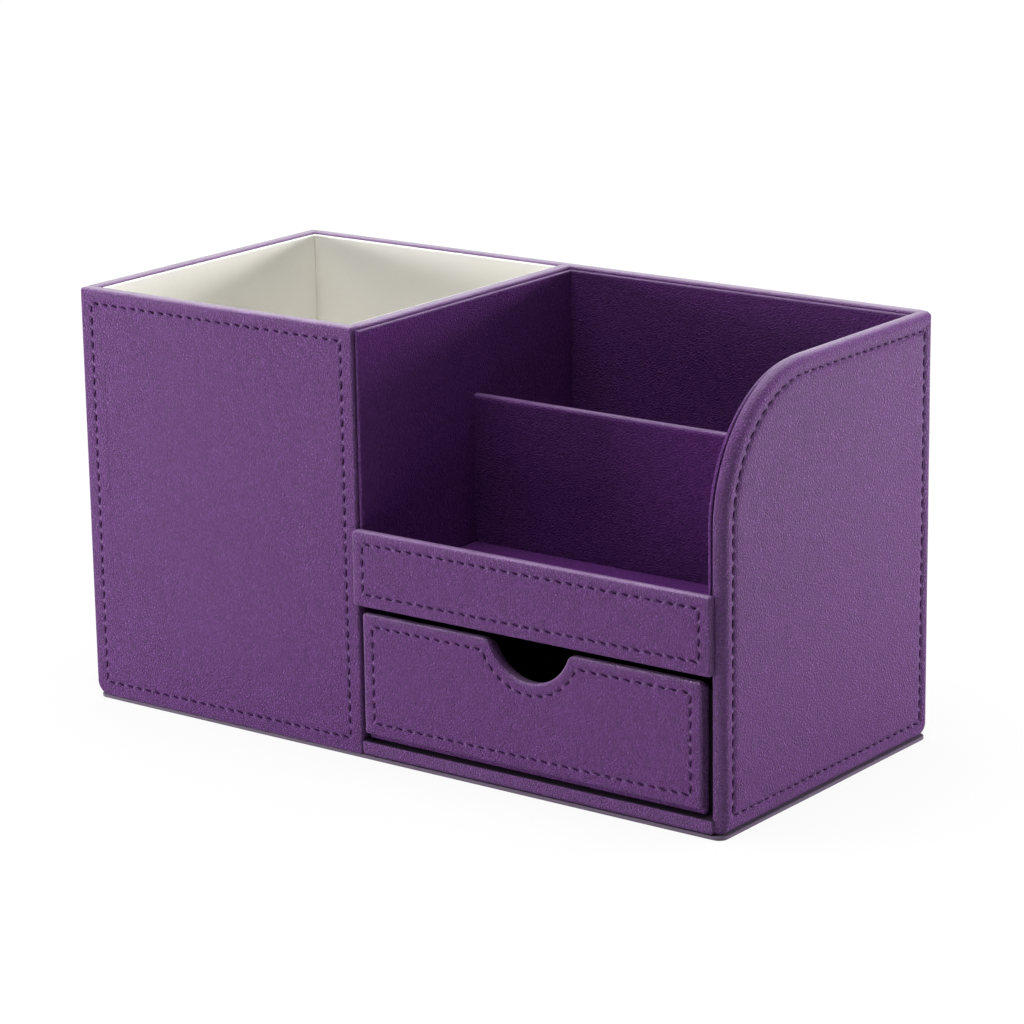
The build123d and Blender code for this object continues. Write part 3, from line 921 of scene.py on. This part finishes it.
class ORGANISER_OT_bottom(bpy.types.Operator):
    """Build the leather over the base, its dark top under the drawer, and the felt sheet below"""

    bl_idname = "organiser.bottom"
    bl_label = "Base and bottom sheet"

    def execute(self, context):
        sizes = context.scene.organiser_sizes
        rail = Wrap(sizes.rail_edge, sizes.rail_tuck, grow=(0, sizes.face_round, 0, 0))
        sheet = Wrap(sizes.card_round / 2, sizes.card_round / 2)
        leather, _ = wrapped_panel("base_cover", "up", (sizes.card_round,) * 4, sizes, rail, seed=40)
        felt, _ = wrapped_panel("bottom_felt", "down", (sizes.sheet_corner,) * 4, sizes, sheet, seed=41)
        dress(leather, CASE, "leather", "Leather", "base_cover")
        leather.data.materials.append(material_named("Card"))
        least_upward = 0.7
        for polygon in leather.data.polygons:
            polygon.material_index = int(polygon.normal.z > least_upward)
        dress(felt, CASE, "bottom_felt", "Felt", "bottom_felt")
        return {"FINISHED"}


class ORGANISER_OT_kept_nodes(bpy.types.Operator):
    """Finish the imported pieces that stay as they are: shelf, drawer box, its felt and the boards"""

    bl_idname = "organiser.kept_nodes"
    bl_label = "Shelf, drawer box and boards"

    def execute(self, context):
        finishes = {
            # Painted shade: the shelf takes the darker bay leather
            "shelf_cover": "Lining leather",
            "drawer_felt": "Drawer felt",
            "drawer_bottom": "Card",
            "drawer_left_side": "Card",
            "drawer_right_side": "Card",
            "drawer_back": "Card",
        }
        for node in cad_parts:
            if node.endswith("_board"):
                finishes[node] = "Board"
        # These boards take the dark card colour; the base board's is painted shade where it shows in the gap
        # above the bottom sheet
        for node in ("base_board", "drawer_front_board"):
            finishes[node] = "Card"
        for node, material in finishes.items():
            dress_node(node, material)
        return {"FINISHED"}


def front_way(azimuth, elevation=0.0):
    """A direction by its angle to the right of the front and its angle up."""
    flat = math.cos(elevation)
    return Vector((flat * math.sin(azimuth), -flat * math.cos(azimuth), math.sin(elevation)))


def hang_softbox(box, power):
    """A flat area lamp that looks at the middle of the object."""
    lamp = bpy.data.lights.new(box.name, "AREA")
    lamp.shape = "RECTANGLE"
    lamp.size = box.width
    lamp.size_y = box.height
    lamp.energy = power
    way = front_way(math.radians(box.azimuth), math.radians(box.elevation))
    obj = bpy.data.objects.new(box.name, lamp)
    obj.location = Vector((0, 0, MIDDLE_HEIGHT)) + LAMP_REACH * way
    obj.rotation_euler = (-way).to_track_quat("-Z", "Y").to_euler()
    obj.visible_glossy = False
    bpy.context.scene.collection.objects.link(obj)


class ORGANISER_OT_stage(bpy.types.Operator):
    """Build the floor, the white surround, the softboxes and the camera"""

    bl_idname = "organiser.stage"
    bl_label = "Stage"

    def execute(self, context):
        stage = context.scene.organiser_stage
        colours = context.scene.organiser_colours
        self.floor(colours, stage)
        self.surround(context.scene, stage)
        for box in SOFTBOXES:
            hang_softbox(box, getattr(stage, box.power))
        self.camera(context.scene, stage)
        context.scene.view_settings.view_transform = "Standard"
        return {"FINISHED"}

    def floor(self, colours, stage):
        """A wide pale floor with the object's shadow. Seen in reflections it glows: a painted reflection,
        brighter far off than near by and dim towards the camera.
        """
        reach, seen_share = 4.0, 0.9
        corners = [(-reach, -reach, 0), (reach, -reach, 0), (reach, reach, 0), (-reach, reach, 0)]
        floor = mesh_piece("floor", corners, [(0, 1, 2, 3)])
        material, nodes, shader = new_material("Floor")
        shader.inputs["Base Color"].default_value = rgba(colours.floor)
        shader.inputs["Roughness"].default_value = 0.9
        shader.inputs["Specular IOR Level"].default_value = 0.0
        place = nodes.add("ShaderNodeTexCoord").outputs["Object"]
        away = nodes.vectors("LENGTH", place)
        towards = nodes.vectors("DOT_PRODUCT", place, front_way(stage.azimuth))
        far = nodes.ramp(away, low=0.1, high=0.6, start=0.4, end=2.8)
        dim = nodes.ramp(towards, low=0.0, high=0.45, start=1.0, end=0.1)
        bright = nodes.ramp(away, low=0.0, high=1.17, start=0.98, end=1.12)
        path = nodes.add("ShaderNodeLightPath").outputs
        camera, glossy = path["Is Camera Ray"], path["Is Glossy Ray"]
        seen = nodes.sums("MULTIPLY", bright, camera)
        mirrored = nodes.sums("MULTIPLY", nodes.sums("MULTIPLY", far, dim), glossy)
        glow = nodes.add("ShaderNodeEmission", Strength=nodes.sums("ADD", seen, mirrored))
        factor = nodes.sums("MAXIMUM", nodes.sums("MULTIPLY", camera, seen_share), glossy)
        blend = nodes.add("ShaderNodeMixShader", Fac=factor)
        nodes.feed(blend.inputs[1], shader.outputs["BSDF"])
        nodes.feed(blend.inputs[2], glow.outputs["Emission"])
        nodes.feed(material.node_tree.nodes["Material Output"].inputs["Surface"], blend.outputs["Shader"])
        floor.data.materials.append(material)

    def surround(self, scene, stage):
        """White where it is seen, mirrored white from behind and dim from the front, and dim as light."""
        world = bpy.data.worlds.new("Surround")
        world.use_nodes = True
        nodes = Nodes(world.node_tree)
        path = nodes.add("ShaderNodeLightPath").outputs
        way = nodes.add("ShaderNodeTexCoord").outputs["Generated"]
        front = nodes.vectors("DOT_PRODUCT", way, front_way(stage.azimuth))
        fade = nodes.ramp(front, low=-0.1, high=0.6, start=1.0, end=0.1)
        mirrored = nodes.sums("MULTIPLY", path["Is Glossy Ray"], fade)
        lit = nodes.sums("MAXIMUM", mirrored, stage.ambient)
        strength = nodes.sums("MAXIMUM", lit, path["Is Camera Ray"])
        background = world.node_tree.nodes["Background"]
        background.inputs["Color"].default_value = (1, 1, 1, 1)
        nodes.feed(background.inputs["Strength"], strength)
        scene.world = world

    def camera(self, scene, stage):
        """The photograph's viewpoint."""
        back = front_way(stage.azimuth, stage.elevation)
        right = Vector((0, 0, 1)).cross(back).normalized()
        up = back.cross(right)
        across = right * math.cos(stage.roll) + up * math.sin(stage.roll)
        upward = up * math.cos(stage.roll) - right * math.sin(stage.roll)
        lens = bpy.data.cameras.new("Camera")
        lens.lens = stage.lens
        lens.sensor_width = 36
        lens.clip_end = 20
        camera = bpy.data.objects.new("Camera", lens)
        turned = Matrix((across, upward, back)).transposed().to_4x4()
        camera.matrix_world = Matrix.Translation(stage.place) @ turned
        scene.collection.objects.link(camera)
        scene.camera = camera


class ORGANISER_PT_sidebar(bpy.types.Panel):
    """The organiser's operators, sizes, colours and stage"""

    bl_idname = "ORGANISER_PT_sidebar"
    bl_label = "Desk organiser"
    bl_space_type = "VIEW_3D"
    bl_region_type = "UI"
    bl_category = "Organiser"

    def draw(self, context):
        for operator in OPERATORS:
            self.layout.operator(operator.bl_idname)
        for name, group in PROPERTY_GROUPS:
            box = self.layout.box()
            for key in group.__annotations__:
                box.prop(getattr(context.scene, name), key)


OPERATORS = (
    ORGANISER_OT_walls,
    ORGANISER_OT_faces,
    ORGANISER_OT_inner_walls,
    ORGANISER_OT_well,
    ORGANISER_OT_bottom,
    ORGANISER_OT_kept_nodes,
    ORGANISER_OT_stage,
)
PROPERTY_GROUPS = (
    ("organiser_sizes", OrganiserSizes),
    ("organiser_colours", OrganiserColours),
    ("organiser_stage", OrganiserStage),
)


def register():
    """Adds the classes and hangs the properties on the scene."""
    for name, group in PROPERTY_GROUPS:
        bpy.utils.register_class(group)
        setattr(bpy.types.Scene, name, bpy.props.PointerProperty(type=group))
    for cls in (*OPERATORS, ORGANISER_PT_sidebar):
        bpy.utils.register_class(cls)


def unregister():
    """Takes the classes and properties away again."""
    for cls in (ORGANISER_PT_sidebar, *reversed(OPERATORS)):
        bpy.utils.unregister_class(cls)
    for name, group in PROPERTY_GROUPS:
        delattr(bpy.types.Scene, name)
        bpy.utils.unregister_class(group)


def main():
    """Builds everything in order."""
    register()
    bpy.ops.organiser.walls()
    bpy.ops.organiser.faces()
    bpy.ops.organiser.inner_walls()
    bpy.ops.organiser.well()
    bpy.ops.organiser.bottom()
    bpy.ops.organiser.kept_nodes()
    bpy.ops.organiser.stage()


if __name__ == "__main__":
    main()
